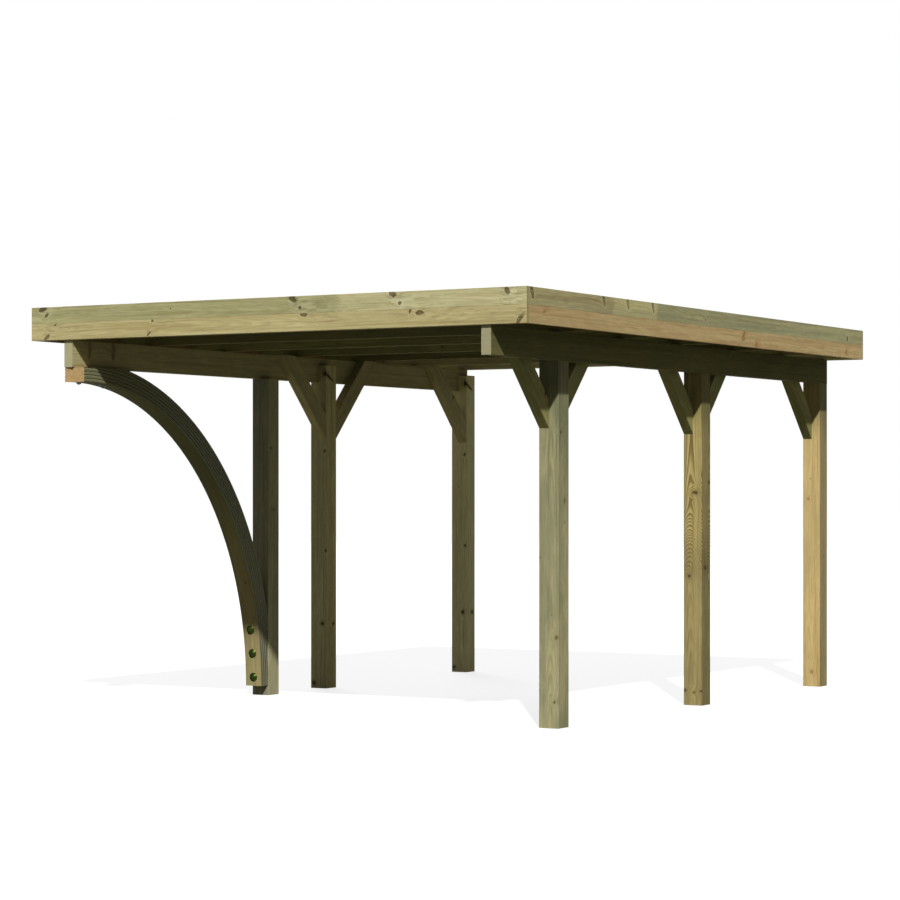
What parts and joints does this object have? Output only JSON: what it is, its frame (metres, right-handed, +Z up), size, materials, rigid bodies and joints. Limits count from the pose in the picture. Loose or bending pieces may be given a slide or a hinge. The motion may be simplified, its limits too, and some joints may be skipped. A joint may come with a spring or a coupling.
{
  "type": "timber carport",
  "caption": "Open flat-roofed timber carport on square posts, with knee braces, a deep board fascia and a laminated arch in place of one front post.",
  "frame": {"origin": "on the ground, at the middle of the roof's outline", "axes": "+Y runs from the entry to the back, +X to the right as one drives in, +Z up"},
  "size_m": [3.26, 4.525, 2.337],
  "materials": {
    "post_timber": "planed pressure-treated softwood, greenish to tan",
    "beam_timber": "planed pressure-treated softwood",
    "brace_timber": "planed pressure-treated softwood",
    "arch_timber": "glued laminations of pressure-treated softwood",
    "fascia_timber": "planed pressure-treated boards, pale yellow-green",
    "rafter_timber": "planed pressure-treated softwood",
    "bolt_caps": "dark green gloss",
    "zinc_bolts": "zinc plated",
    "roof_sheet": "coated trapezoidal steel, anthracite"
  },
  "bodies": {
    "root": {"right_front_post": "post_timber", "right_middle_post": "post_timber", "right_rear_post": "post_timber", "arch_post": "post_timber", "left_middle_post": "post_timber", "left_rear_post": "post_timber", "right_beam": "beam_timber", "left_beam": "beam_timber", "right_front_post_front_brace": "brace_timber", "right_front_post_rear_brace": "brace_timber", "right_middle_post_front_brace": "brace_timber", "right_middle_post_rear_brace": "brace_timber", "right_rear_post_brace": "brace_timber", "left_middle_post_front_brace": "brace_timber", "left_middle_post_rear_brace": "brace_timber", "left_rear_post_brace": "brace_timber", "laminated_arch": "arch_timber", "arch_foot_bolts": "bolt_caps", "arch_top_bolts": "zinc_bolts", "front_lower_fascia": "fascia_timber", "front_upper_fascia": "fascia_timber", "rear_lower_fascia": "fascia_timber", "rear_upper_fascia": "fascia_timber", "left_lower_fascia": "fascia_timber", "left_upper_fascia": "fascia_timber", "right_lower_fascia": "fascia_timber", "right_upper_fascia": "fascia_timber", "rafter_1": "rafter_timber", "rafter_2": "rafter_timber", "rafter_3": "rafter_timber", "rafter_4": "rafter_timber", "rafter_5": "rafter_timber", "rafter_6": "rafter_timber", "rafter_7": "rafter_timber", "rear_spacer_blocks": "rafter_timber", "roof_sheet_1": "roof_sheet", "roof_sheet_2": "roof_sheet", "roof_sheet_3": "roof_sheet", "roof_sheet_4": "roof_sheet"}
  },
  "joints": []
}
